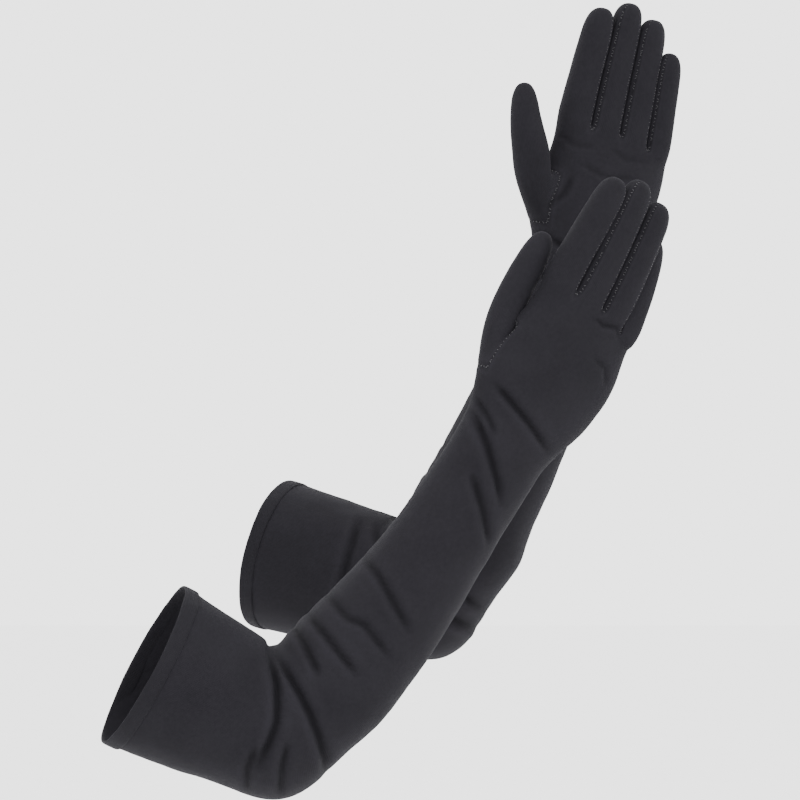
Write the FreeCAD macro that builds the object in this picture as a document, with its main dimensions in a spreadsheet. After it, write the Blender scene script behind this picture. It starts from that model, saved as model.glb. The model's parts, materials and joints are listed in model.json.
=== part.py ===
import FreeCAD, Part
import math
import os
import Sketcher
from FreeCAD import Placement, Rotation, Vector

# A pair of opera gloves. Each glove is built three times over in simple frames of its own: the upper
# sleeve along its arm, the forearm along its arm and the hand along its middle. In every such frame
# +Z runs towards the fingertips, -X is the thumb side and Y is the way through the hand. The frames
# are then set one after another from the angles in the sheet.

doc = FreeCAD.newDocument("OperaGloves")
sheet = doc.addObject("Spreadsheet::Sheet", "Dimensions")

SIZES = {
    # fabric
    "wall": 0.8,
    "hem_wall": 1.8,
    "hem_height": 9,
    "node_gap": 0.4,
    # upper sleeve and elbow
    "hem_half_width": 54,
    "hem_half_depth": 50,
    "elbow_radius": 45,
    "bend_radius": 50,
    "elbow_reach": 60,
    # forearm and wrist
    "forearm_length": 234,
    "forearm_middle": 130,
    "forearm_half_width": 35,
    "forearm_half_depth": 32,
    "wrist_half_width": 32,
    "wrist_half_depth": 22.5,
    "wrist_below": 24,
    "wrist_above": 22,
    # hand
    "palm_base_half_width": 34,
    "palm_base_half_depth": 21,
    "palm_base_shift": 1,
    "palm_top": 58,
    "palm_top_half_width": 38.4,
    "palm_top_half_depth": 16.5,
    "palm_top_shift": 6.2,
    "knuckle_end": 87,
    "knuckle_half_width": 38.8,
    "knuckle_half_depth": 11.6,
    "knuckle_shift": 7.2,
    # fingers: where each stands, where it bends and how long it is from the bend
    "fourchette_angle": 70,
    "index_across": -21.6,
    "index_bend": 70,
    "index_length": 95,
    "index_base": 9.8,
    "index_tip": 8.2,
    "middle_across": -1.2,
    "middle_bend": 72,
    "middle_length": 99,
    "middle_base": 9.9,
    "middle_tip": 8.3,
    "ring_across": 19.2,
    "ring_bend": 70,
    "ring_length": 95,
    "ring_base": 9.7,
    "ring_tip": 8,
    "little_across": 37.6,
    "little_bend": 66,
    "little_length": 79,
    "little_base": 8,
    "little_tip": 7,
    # thumb
    "thumb_root_across": -25,
    "thumb_root_depth": 7,
    "thumb_root_along": 22,
    "thumb_start": 40,
    "thumb_length": 95,
    "thumb_base": 9.6,
    "thumb_tip": 8.2,
    "thumb_gap": 0.8,
    "thumb_set_depth": 3,
    # how the right glove is held
    "right_upper_length": 102,
    "right_upper_lean": 118,
    "right_upper_tilt": 10,
    "right_forearm_lean": 36,
    "right_forearm_tilt": 3,
    "right_hand_lean": 29,
    "right_hand_tilt": 1,
    "right_turn": 25,
    "right_thumb_out": 1,
    # how the left glove is held, and where its arm opening is from the right one's
    "left_upper_length": 120,
    "left_upper_lean": 105,
    "left_upper_tilt": -20,
    "left_forearm_lean": 22.5,
    "left_forearm_tilt": -2.4,
    "left_hand_lean": 11,
    "left_hand_tilt": -0.7,
    "left_turn": 22,
    "left_thumb_out": 9.5,
    "left_opening_across": 71,
    "left_opening_away": 205,
    "left_opening_up": 59,
}
for row, (alias, value) in enumerate(SIZES.items(), 1):
    sheet.set(f"A{row}", alias)
    sheet.set(f"B{row}", str(value))
    sheet.setAlias(f"B{row}", alias)
doc.recompute()

FINGERS = ("index", "middle", "ring", "little")
nodes = {}


def size(alias):
    return float(sheet.get(alias))


def cell(alias):
    return f"<<Dimensions>>.{alias}"


# ---------------------------------------------------------------- frames


def direction_frame(origin, lean, tilt, turn):
    """A frame whose +Z leans to +X and tilts to +Y, turned about its own +Z."""
    spin = Rotation(Vector(0, 1, 0), lean).multiply(Rotation(Vector(1, 0, 0), -tilt))
    return Placement(origin, spin.multiply(Rotation(Vector(0, 0, 1), turn)))


def along(frame, distance):
    return frame.multVec(Vector(0, 0, distance))


def glove_frames(side, opening):
    """The upper sleeve's, forearm's and hand's frames of one glove, and its elbow's."""
    turn = size(f"{side}_turn")
    upper_lean = size(f"{side}_upper_lean")
    upper_tilt = size(f"{side}_upper_tilt")
    upper = direction_frame(opening, upper_lean, upper_tilt, 0)
    elbow_at = along(upper, size(f"{side}_upper_length"))
    forearm_lean = size(f"{side}_forearm_lean")
    forearm_tilt = size(f"{side}_forearm_tilt")
    forearm = direction_frame(elbow_at, forearm_lean, forearm_tilt, turn)
    wrist_at = along(forearm, size("forearm_length"))
    hand_lean = size(f"{side}_hand_lean")
    hand_tilt = size(f"{side}_hand_tilt")
    hand = direction_frame(wrist_at, hand_lean, hand_tilt, turn)
    upper_way = upper.Rotation.multVec(Vector(0, 0, 1))
    forearm_way = forearm.Rotation.multVec(Vector(0, 0, 1))
    hinge = upper_way.cross(forearm_way).normalize()
    inward = hinge.cross(upper_way)
    elbow = Placement(elbow_at, Rotation(inward, hinge, upper_way, "ZXY"))
    bend = math.degrees(upper_way.getAngle(forearm_way))
    return upper, elbow, forearm, hand, bend


# ---------------------------------------------------------------- shapes shared by the gloves


def ellipse(name, half_width, half_depth, shift, height, trim):
    """An upright ellipse, bound to the sheet and made smaller all round by trim."""
    ring = doc.addObject("Part::Ellipse", name)
    ring.setExpression("MajorRadius", f"max({half_width}; {half_depth}) - {trim}")
    ring.setExpression("MinorRadius", f"min({half_width}; {half_depth}) - {trim}")
    ring.setExpression("Placement.Base.x", shift)
    ring.setExpression("Placement.Base.z", height)
    return ring


def loft(name, sections):
    skin = doc.addObject("Part::Loft", name)
    skin.Sections = sections
    skin.Solid = True
    skin.Ruled = False
    return skin


def cut(name, base, tool):
    result = doc.addObject("Part::Cut", name)
    result.Base = base
    result.Tool = tool
    return result


def solid_sleeve(name, stations, trim, frames=None):
    """A loft through ellipses given as (half width, half depth, shift, height)."""
    rings = []
    for place, (half_width, half_depth, shift, height) in enumerate(stations, 1):
        rings.append(ellipse(f"{name}Ring{place}", half_width, half_depth, shift, height, trim))
    if frames:
        doc.recompute()
        for ring, frame in zip(rings, frames):
            flat = ring.Placement
            ring.setExpression("Placement.Base.x", None)
            ring.setExpression("Placement.Base.z", None)
            ring.Placement = frame.multiply(flat)
    return loft(name, rings)


def sleeve(name, stations, wall, frames=None):
    outer = solid_sleeve(f"{name}Outer", stations, "0", frames)
    inner = solid_sleeve(f"{name}Inner", stations, wall, frames)
    return cut(name, outer, inner)


def bound_box(name, length, width, height, base_x, base_y, base_z):
    box = doc.addObject("Part::Box", name)
    box.setExpression("Length", length)
    box.setExpression("Width", width)
    box.setExpression("Height", height)
    box.setExpression("Placement.Base.x", base_x)
    box.setExpression("Placement.Base.y", base_y)
    box.setExpression("Placement.Base.z", base_z)
    return box


def bound_cylinder(name, radius, height, base_x, base_z):
    rod = doc.addObject("Part::Cylinder", name)
    rod.setExpression("Radius", radius)
    rod.setExpression("Height", height)
    rod.setExpression("Placement.Base.x", base_x)
    rod.setExpression("Placement.Base.z", base_z)
    return rod


def keep(node, shape, frame):
    shape.Placement = frame
    nodes[node] = shape


# ---------------------------------------------------------------- fingers


def finger_panel(name, finger, start, angle):
    """A strip of a tapered, round-ended finger wall, turned through angle about +Z."""
    body = doc.addObject("PartDesign::Body", name)
    sketch = body.newObject("Sketcher::SketchObject", f"{name}Wall")
    plane = [f for f in body.Origin.OriginFeatures if f.Role == "XZ_Plane"][0]
    sketch.AttachmentSupport = [(plane, "")]
    sketch.MapMode = "FlatFace"
    base = size(f"{finger}_base")
    tip = size(f"{finger}_tip")
    length = size(f"{finger}_length")
    wall = size("wall")
    foot = start
    centre = Vector(0, length - tip, 0)
    up = Vector(0, 0, 1)
    corners = [
        Vector(base, foot, 0),
        Vector(tip, length - tip, 0),
        Vector(0, length, 0),
        Vector(0, length - wall, 0),
        Vector(tip - wall, length - tip, 0),
        Vector(base - wall, foot, 0),
    ]
    side = sketch.addGeometry(Part.LineSegment(corners[0], corners[1]))
    dome = sketch.addGeometry(Part.ArcOfCircle(Part.Circle(centre, up, tip), 0, math.pi / 2))
    end = sketch.addGeometry(Part.LineSegment(corners[2], corners[3]))
    lining = sketch.addGeometry(
        Part.ArcOfCircle(Part.Circle(centre, up, tip - wall), 0, math.pi / 2)
    )
    inside = sketch.addGeometry(Part.LineSegment(corners[4], corners[5]))
    foot_line = sketch.addGeometry(Part.LineSegment(corners[5], corners[0]))
    rule = Sketcher.Constraint
    joins = ((side, 2, dome, 1), (dome, 2, end, 1), (end, 2, lining, 2), (lining, 1, inside, 1))
    for first, first_end, second, second_end in joins:
        sketch.addConstraint(rule("Coincident", first, first_end, second, second_end))
    sketch.addConstraint(rule("Coincident", inside, 2, foot_line, 1))
    sketch.addConstraint(rule("Coincident", foot_line, 2, side, 1))
    sketch.addConstraint(rule("Coincident", dome, 3, lining, 3))
    sketch.addConstraint(rule("PointOnObject", dome, 3, -2))
    sketch.addConstraint(rule("PointOnObject", end, 1, -2))
    sketch.addConstraint(rule("PointOnObject", end, 2, -2))
    sketch.addConstraint(rule("Horizontal", foot_line))
    sketch.addConstraint(rule("Horizontal", side, 2, dome, 3))
    sketch.addConstraint(rule("Horizontal", inside, 1, dome, 3))
    sized = (
        ("Base", rule("DistanceX", -1, 1, side, 1, base), cell(f"{finger}_base")),
        ("Foot", rule("DistanceY", -1, 1, side, 1, foot), None),
        ("Tip", rule("Radius", dome, tip), cell(f"{finger}_tip")),
        ("Length", rule("DistanceY", -1, 1, end, 1, length), cell(f"{finger}_length")),
        ("Wall", rule("DistanceX", foot_line, 1, foot_line, 2, wall), cell("wall")),
        ("TipWall", rule("DistanceY", end, 2, end, 1, wall), cell("wall")),
    )
    for label, constraint, expression in sized:
        place = sketch.addConstraint(constraint)
        sketch.renameConstraint(place, label)
        if expression:
            sketch.setExpression(f"Constraints.{label}", expression)
    if finger == "thumb":
        sketch.setExpression("Constraints.Foot", cell("thumb_start"))
    else:
        foot_rule = f"{cell('knuckle_end')} + {cell('node_gap')} - {cell(finger + '_bend')}"
        sketch.setExpression("Constraints.Foot", foot_rule)
    turned = body.newObject("PartDesign::Revolution", f"{name}Turned")
    turned.Profile = sketch
    turned.ReferenceAxis = (sketch, ["V_Axis"])
    turned.Midplane = True
    turned.setExpression("Angle", angle)
    return body


def finger_panels(side, finger, palm_way, hand):
    start = size("knuckle_end") + size("node_gap") - size(f"{finger}_bend")
    foot = Placement(Vector(size(f"{finger}_across"), 0, size(f"{finger}_bend")), Rotation())
    fourchette = cell("fourchette_angle")
    half = size("fourchette_angle") / 2
    if finger == "index":
        panels = {"fourchette_ulnar": (fourchette, 0)}
        shell_angle = f"180 deg - {fourchette} * 1 deg / 2"
        middle = 90 + half / 2
    elif finger == "little":
        panels = {"fourchette_radial": (fourchette, 180)}
        shell_angle = f"180 deg - {fourchette} * 1 deg / 2"
        middle = 90 - half / 2
    else:
        panels = {"fourchette_ulnar": (fourchette, 0), "fourchette_radial": (fourchette, 180)}
        shell_angle = f"180 deg - {fourchette} * 1 deg"
        middle = 90
    panels["palm"] = (shell_angle, middle * palm_way)
    panels["back"] = (shell_angle, -middle * palm_way)
    for panel, (angle, facing) in panels.items():
        name = f"{side}_{finger}_{panel}"
        title = name.title().replace("_", "")
        strip = finger_panel(title, finger, start, angle)
        faced = Placement(Vector(), Rotation(Vector(0, 0, 1), facing))
        keep(name, strip, hand.multiply(foot).multiply(faced))


def thumb_frame(side, palm_way, hand):
    """The thumb's own frame: its foot beside the hand, leaning out and a little to the palm."""
    root = Vector(size("thumb_root_across"), palm_way * size("thumb_root_depth"), 0)
    root.z = size("thumb_root_along")
    out = Rotation(Vector(0, 1, 0), -size(f"{side}_thumb_out"))
    set_out = Placement(root, out)
    palm_edge = size("palm_top_shift") - size("palm_top_half_width")
    beside = palm_edge - size("thumb_gap") - size("thumb_base") - size("thumb_root_across")
    aside = Vector(beside, palm_way * size("thumb_set_depth"), 0)
    return hand.multiply(set_out).multiply(Placement(aside, Rotation()))


# ---------------------------------------------------------------- one glove


def build_glove(side, palm_way, opening):
    upper, elbow, forearm, hand, bend = glove_frames(side, opening)
    title = side.title()
    wall = cell("wall")
    gap = cell("node_gap")
    reach = cell("elbow_reach")
    round_elbow = cell("elbow_radius")

    # upper sleeve, from the arm opening to the elbow's fullness, and the hem turned at its end
    length = cell(f"{side}_upper_length")
    share = f"({cell('hem_height')} / ({length} - {reach}))"
    hem_width = cell("hem_half_width")
    hem_depth = cell("hem_half_depth")
    top_width = f"({hem_width} + ({round_elbow} - {hem_width}) * {share})"
    top_depth = f"({hem_depth} + ({round_elbow} - {hem_depth}) * {share})"
    top = f"{cell('hem_height')}"
    hem_stations = [(hem_width, hem_depth, "0", "0"), (top_width, top_depth, "0", top)]
    hem = sleeve(f"{title}Hem", hem_stations, cell("hem_wall"))
    keep(f"{side}_hem_band", hem, upper)
    upper_end = f"{length} - {reach} - {gap}"
    upper_stations = [
        (top_width, top_depth, "0", top),
        (round_elbow, round_elbow, "0", upper_end),
    ]
    keep(f"{side}_upper_sleeve", sleeve(f"{title}Upper", upper_stations, wall), upper)

    # elbow sleeve: a bend between two short straight ends, all of one roundness
    solids = []
    for kind, radius in (("Outer", round_elbow), ("Inner", f"{round_elbow} - {wall}")):
        ring = doc.addObject("Part::Torus", f"{title}Elbow{kind}Bend")
        ring.setExpression("Radius1", cell("bend_radius"))
        ring.setExpression("Radius2", radius)
        ring.Angle3 = bend
        tangent = size("bend_radius") * math.tan(math.radians(bend / 2))
        straight = size("elbow_reach") - tangent
        foot = doc.addObject("Part::Cylinder", f"{title}Elbow{kind}Foot")
        foot.setExpression("Radius", radius)
        foot.Height = straight
        head = doc.addObject("Part::Cylinder", f"{title}Elbow{kind}Head")
        head.setExpression("Radius", radius)
        head.Height = straight
        bend_centre = Vector(size("bend_radius"), 0, -tangent)
        # the torus turns about its own +Z: laid so it starts on the upper arm's line
        laid = Rotation(Vector(-1, 0, 0), Vector(0, 0, 1), Vector(0, 1, 0), "ZXY")
        ring.Placement = Placement(bend_centre, laid)
        foot.Placement = Placement(Vector(0, 0, -tangent - straight), Rotation())
        bent = Placement(Vector(), Rotation(Vector(0, 1, 0), bend))
        head.Placement = bent.multiply(Placement(Vector(0, 0, tangent), Rotation()))
        solid = doc.addObject("Part::MultiFuse", f"{title}Elbow{kind}")
        solid.Shapes = [foot, ring, head]
        solids.append(solid)
    keep(f"{side}_elbow_sleeve", cut(f"{title}Elbow", solids[0], solids[1]), elbow)

    # forearm sleeve
    forearm_end = f"{cell('forearm_length')} - {cell('wrist_below')} - {gap}"
    wrist_width = cell("wrist_half_width")
    wrist_depth = cell("wrist_half_depth")
    middle_width = cell("forearm_half_width")
    middle_depth = cell("forearm_half_depth")
    forearm_stations = [
        (round_elbow, round_elbow, "0", f"{reach}"),
        (middle_width, middle_depth, "0", cell("forearm_middle")),
        (wrist_width, wrist_depth, "0", forearm_end),
    ]
    keep(f"{side}_forearm_sleeve", sleeve(f"{title}Forearm", forearm_stations, wall), forearm)

    # wrist sleeve, between the forearm's end and the hand's, each in its own frame
    wrist_start = f"{cell('forearm_length')} - {cell('wrist_below')}"
    palm_base = (
        cell("palm_base_half_width"),
        cell("palm_base_half_depth"),
        cell("palm_base_shift"),
        cell("wrist_above"),
    )
    wrist_stations = [(wrist_width, wrist_depth, "0", wrist_start), palm_base]
    wrist = sleeve(f"{title}Wrist", wrist_stations, wall, [forearm, hand])
    keep(f"{side}_wrist_sleeve", wrist, Placement())

    # hand, as a back and a palm
    palm_top = (
        cell("palm_top_half_width"),
        cell("palm_top_half_depth"),
        cell("palm_top_shift"),
        cell("palm_top"),
    )
    across = f"4 * {cell('palm_top_half_width')}"
    tall = f"2 * {cell('knuckle_end')}"
    halves = (("palm", palm_way), ("back", -palm_way))
    for half, way in halves:
        shell = sleeve(f"{title}Hand{half.title()}Shell", [palm_base, palm_top], wall)
        side_y = "0" if way > 0 else f"-({across})"
        half_x = f"-({across}) / 2"
        name = f"{title}Hand{half.title()}"
        room = bound_box(f"{name}Side", across, across, tall, half_x, side_y, "0")
        panel = doc.addObject("Part::Common", name)
        panel.Base = shell
        panel.Tool = room
        keep(f"{side}_hand_{half}", panel, hand)

    # knuckle band: on from the hand to an end plate the fingers stand on
    knuckle = (
        cell("knuckle_half_width"),
        cell("knuckle_half_depth"),
        cell("knuckle_shift"),
        cell("knuckle_end"),
    )
    plate = (knuckle[0], knuckle[1], knuckle[2], f"{cell('knuckle_end')} - {wall}")
    band_outer = solid_sleeve(f"{title}KnuckleOuter", [palm_top, knuckle], "0")
    band_inner = solid_sleeve(f"{title}KnuckleInner", [palm_top, plate], wall)
    mouths = []
    for finger in FINGERS:
        mouth_radius = f"{cell(finger + '_base')} - {wall}"
        mouth_foot = f"{cell('knuckle_end')} - 2 * {wall}"
        mouth_height = f"4 * {wall}"
        name = f"{title}{finger.title()}Mouth"
        across_by = cell(f"{finger}_across")
        mouths.append(bound_cylinder(name, mouth_radius, mouth_height, across_by, mouth_foot))
    room = doc.addObject("Part::MultiFuse", f"{title}KnuckleRoom")
    room.Shapes = [band_inner] + mouths
    keep(f"{side}_knuckle_band", cut(f"{title}Knuckle", band_outer, room), hand)

    # fingers and thumb
    for finger in FINGERS:
        finger_panels(side, finger, palm_way, hand)
    thumb = thumb_frame(side, palm_way, hand)
    for half, way in halves:
        name = f"{side}_thumb_{half}"
        panel = finger_panel(name.title().replace("_", ""), "thumb", size("thumb_start"), "180 deg")
        keep(name, panel, thumb.multiply(Placement(Vector(), Rotation(Vector(0, 0, 1), 90 * way))))

    # thumb gusset: from inside the hand's edge to the thumb's foot, cut back to the hand's outside
    thumb_foot = (cell("thumb_base"), cell("thumb_base"), "0", f"{cell('thumb_start')} - {gap}")
    low = (f"{cell('thumb_base')} * 1.2", cell("thumb_base"), f"{cell('thumb_base')} * 0.9", "2")
    gusset_outer = solid_sleeve(f"{title}GussetOuter", [low, thumb_foot], "0", [thumb, thumb])
    gusset_inner = solid_sleeve(f"{title}GussetInner", [low, thumb_foot], wall, [thumb, thumb])
    clear = f"-{gap}"
    hand_room = solid_sleeve(f"{title}HandRoom", [palm_base, palm_top], clear)
    band_room = solid_sleeve(f"{title}BandRoom", [palm_top, knuckle], clear)
    wrist_room = bound_box(
        f"{title}WristRoom", across, across, cell("wrist_above"), f"-({across}) / 2",
        f"-({across}) / 2", "0"
    )
    hand_room.Placement = hand
    band_room.Placement = hand
    hollow = doc.addObject("Part::MultiFuse", f"{title}GussetHollow")
    hollow.Shapes = [gusset_inner, hand_room, band_room]
    doc.recompute()
    flat = wrist_room.Placement
    for axis in "xyz":
        wrist_room.setExpression(f"Placement.Base.{axis}", None)
    wrist_room.Placement = hand.multiply(flat)
    trimmed = cut(f"{title}GussetTrimmed", gusset_outer, hollow)
    keep(f"{side}_thumb_gusset", cut(f"{title}Gusset", trimmed, wrist_room), Placement())


# ---------------------------------------------------------------- the pair

left_opening = Vector(
    size("left_opening_across"), size("left_opening_away"), size("left_opening_up")
)
build_glove("right", 1, Vector(0, 0, 0))
build_glove("left", -1, left_opening)
doc.recompute()

for item in doc.Objects:
    if "Invalid" in item.State or "Error" in item.State:
        raise SystemExit(f"{item.Name} did not build: {item.State}")
for node, shaped in nodes.items():
    if shaped.Shape.isNull() or not shaped.Shape.isValid():
        raise SystemExit(f"{node} has no sound shape")
    if len(shaped.Shape.Solids) != 1:
        raise SystemExit(f"{node} has {len(shaped.Shape.Solids)} solids")
os.makedirs("parts", exist_ok=True)
for node, shaped in nodes.items():
    shaped.Shape.exportStep(f"parts/{node}.step")
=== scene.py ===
# %% [markdown]
# # A pair of opera gloves
# Two long gloves of near-black stretch knit stand on two bent arms that aren't there. This lesson
# builds each glove as one low cage of rings, smooths it, presses the folds and seams into it, and
# then cuts it into the pieces that move. The CAD frame says where the arms bend.

# %% Load the frame
import json
import math
from types import SimpleNamespace

import bmesh
import bpy
import numpy as np
from mathutils import Matrix, Vector, noise


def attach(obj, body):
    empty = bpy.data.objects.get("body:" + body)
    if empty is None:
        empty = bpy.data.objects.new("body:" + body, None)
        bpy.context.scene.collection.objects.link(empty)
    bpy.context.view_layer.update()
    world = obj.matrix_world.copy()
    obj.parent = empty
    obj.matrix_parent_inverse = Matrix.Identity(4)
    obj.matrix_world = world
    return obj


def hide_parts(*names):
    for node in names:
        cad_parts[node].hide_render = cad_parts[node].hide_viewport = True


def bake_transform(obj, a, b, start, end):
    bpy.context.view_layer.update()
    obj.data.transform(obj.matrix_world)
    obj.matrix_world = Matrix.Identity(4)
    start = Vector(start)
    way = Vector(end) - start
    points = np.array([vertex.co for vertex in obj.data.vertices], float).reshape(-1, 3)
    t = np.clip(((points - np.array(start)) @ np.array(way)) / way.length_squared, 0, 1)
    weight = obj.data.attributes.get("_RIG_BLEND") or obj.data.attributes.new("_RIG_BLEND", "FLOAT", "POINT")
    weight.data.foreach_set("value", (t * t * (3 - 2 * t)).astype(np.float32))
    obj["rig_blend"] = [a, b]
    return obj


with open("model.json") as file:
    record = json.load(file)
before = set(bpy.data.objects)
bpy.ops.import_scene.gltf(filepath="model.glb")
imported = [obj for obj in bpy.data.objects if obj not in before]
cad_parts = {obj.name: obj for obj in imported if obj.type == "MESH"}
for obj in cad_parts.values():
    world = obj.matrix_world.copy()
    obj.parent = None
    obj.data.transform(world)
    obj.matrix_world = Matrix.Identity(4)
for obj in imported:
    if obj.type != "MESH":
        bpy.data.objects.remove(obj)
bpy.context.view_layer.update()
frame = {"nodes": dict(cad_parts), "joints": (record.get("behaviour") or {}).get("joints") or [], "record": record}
joints = {joint["name"]: joint for joint in frame["joints"]}
mounts = {mount["name"]: mount for mount in frame["record"]["mounts"]}
FINGERS = ("index", "middle", "ring", "little")
print("joints:", ", ".join(joints))

# %% [markdown]
# ## Where each arm bends
# A glove follows the arm inside it, so its rings are set square to the arm. The elbow, wrist and
# knuckle hinges give the lines of the upper arm, the forearm and the hand. Everything after this is
# measured in millimetres along those lines and across them.

# %% Find the arm's lines from its hinges
MM = 0.001


def read_arm(side):
    palm_way = 1 if side == "right" else -1
    arm = SimpleNamespace(side=side, palm_way=palm_way)
    arm.hem = Vector(mounts[f"{side}_arm_opening"]["pos_m"])
    arm.up = -Vector(mounts[f"{side}_arm_opening"]["axis"])
    arm.elbow = Vector(joints[f"{side}_elbow"]["pos_m"])
    arm.hinge = Vector(joints[f"{side}_elbow"]["axis"])
    arm.wrist = Vector(joints[f"{side}_wrist"]["pos_m"])
    arm.fore = (arm.wrist - arm.elbow).normalized()
    across = -palm_way * Vector(joints[f"{side}_wrist"]["axis"])
    knuckle = Vector(joints[f"{side}_middle"]["pos_m"]) - arm.wrist
    arm.hand = (knuckle - knuckle.project(across)).normalized()
    arm.across = across.normalized()
    arm.back = -palm_way * arm.hand.cross(arm.across)
    arm.fore_across = (across - across.project(arm.fore)).normalized()
    arm.fore_back = -palm_way * arm.fore.cross(arm.fore_across)
    arm.bend = arm.up.angle(arm.fore)
    arm.upper_length = (arm.elbow - arm.hem).length / MM
    arm.forearm_length = (arm.wrist - arm.elbow).length / MM
    return arm


arms = [read_arm("right"), read_arm("left")]
for arm in arms:
    print(arm.side, "elbow bent", round(math.degrees(arm.bend)), "degrees")

# %% [markdown]
# ## Growing a tube ring by ring
# A glove is a tube that branches. The cage starts as one circle and every new row of faces is an
# extrusion of the last ring, moved to its new place. Each row also gets its share of a flat cloth
# map, so the knit's ribs can run along the arm and on into the fingers, as they do on a real one.

# %% A ring that grows
PIECES = ["sleeve", "cuff", "index", "middle", "ring", "little", "thumb"]
SLEEVE_COLUMNS = 20
THUMB_COLUMNS = 12
FINGER_COLUMNS = 8
# the cloth between two corners of a ring
COLUMN_CLOTH = {SLEEVE_COLUMNS: 15 * MM, THUMB_COLUMNS: 5.6 * MM, FINGER_COLUMNS: 7.7 * MM}


def oval(centre, across, back, half_width, half_depth, count):
    """Places round an oval, from the thumb side over the back of the hand and round."""
    places = []
    for step in range(count):
        turn = 2 * math.pi * step / count
        sideways = -across * (half_width * math.cos(turn))
        places.append(centre + sideways + back * (half_depth * math.sin(turn)))
    return places


def clear_marks(bm, corners):
    """New corners copy their neighbour's marks, so the marks are wiped before new ones are set."""
    for mark in bm.verts.layers.float.values():
        for corner in corners:
            corner[mark] = 0.0


def grow(bm, ring, places, piece, along, seams=()):
    """Extrudes a ring of corners to new places and returns the new ring."""
    count = len(ring.corners)
    pairs = [(ring.corners[i], ring.corners[(i + 1) % count]) for i in range(count)]
    rim = [bm.edges.get(pair) for pair in pairs]
    made = bmesh.ops.extrude_edge_only(bm, edges=rim)["geom"]
    fresh = {item for item in made if isinstance(item, bmesh.types.BMVert)}
    corners = []
    for old in ring.corners:
        corners.append(next(e.other_vert(old) for e in old.link_edges if e.other_vert(old) in fresh))
    for corner, place in zip(corners, places):
        corner.co = place
    cloth = bm.loops.layers.uv.verify()
    for i, (start, finish) in enumerate(pairs):
        face = bm.faces.get((start, finish, corners[(i + 1) % count], corners[i]))
        face.material_index = PIECES.index(piece(i) if callable(piece) else piece)
        for loop in face.loops:
            column = i if loop.vert in (start, corners[i]) else i + 1
            height = ring.along if loop.vert in (start, finish) else along
            loop[cloth].uv = (column * COLUMN_CLOTH[count], height * MM)
    clear_marks(bm, corners)
    seam = bm.verts.layers.float["seam"]
    for column in seams:
        corners[column][seam] = 1.0
    return SimpleNamespace(corners=corners, along=along)


print("pieces of each glove:", ", ".join(PIECES), "and hem")

# %% [markdown]
# ## The sleeve
# From the hem to the wrist the glove is a long tapering sleeve. It turns the elbow on a curve, so
# the rings there fan out like the slats of a fan, close together in the crook and wide apart over
# the point of the elbow. The widths are the arm's: full above the elbow, slim at the wrist.

# %% Stations along the sleeve
BEND_RADIUS = 50
BEND_STEPS = 9
LAST_SLEEVE_STATION = 126  # the cuff piece starts after this one
# half width and half depth of the forearm at distances from the elbow, for each glove
FOREARM_GIRTH = {
    "right": [(45, 40.6, 43.5), (58, 39.4, 41), (75, 38.2, 37.5), (100, 36.2, 34), (125, 34, 31),
              (146, 31.8, 28.8), (172, 31.2, 26.5), (200, 31, 24.5), (216, 31, 23.5)],
    "left": [(45, 42.5, 44), (58, 40.6, 42), (75, 39.4, 38.5), (100, 38.8, 35), (125, 37.8, 32),
             (150, 36, 29), (175, 34, 27), (200, 32.4, 24.5), (216, 31.4, 23.5)],
}
# how far the forearm's middle lies off the straight line between the hinges
FOREARM_SHIFT = {
    "right": [(45, -1.4), (75, 1.6), (100, 4), (146, 4.2), (172, 2), (200, 1), (216, -0.5), (223, -1.8)],
    "left": [(45, -2.6), (58, -2.2), (75, -0.6), (100, 2.4), (150, 3.8), (185, 1.8), (216, 0)],
}
# half width at the hem, at the start and end of the bend, and how far the elbow's point stands out
UPPER_GIRTH = {"right": (54.6, 48.5, 40.4, 9.0), "left": (50.8, 47.0, 42.4, 11.0)}
HEM_HALF_DEPTH = 49.4
UPPER_TAPER = 4.6
BEND_HALF_DEPTH = 44.8
BEND_TAPER = 1.5
# share of the bend and spread of the elbow's point, then height, share and spread of the hollows
ELBOW_POINT = (0.41, 0.17)
HOLLOWS = [(-6.0, 0.78, 0.18), (-2.5, 0.10, 0.12)]


def between(table, at, column=1):
    return float(np.interp(at, [row[0] for row in table], [row[column] for row in table]))


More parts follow.
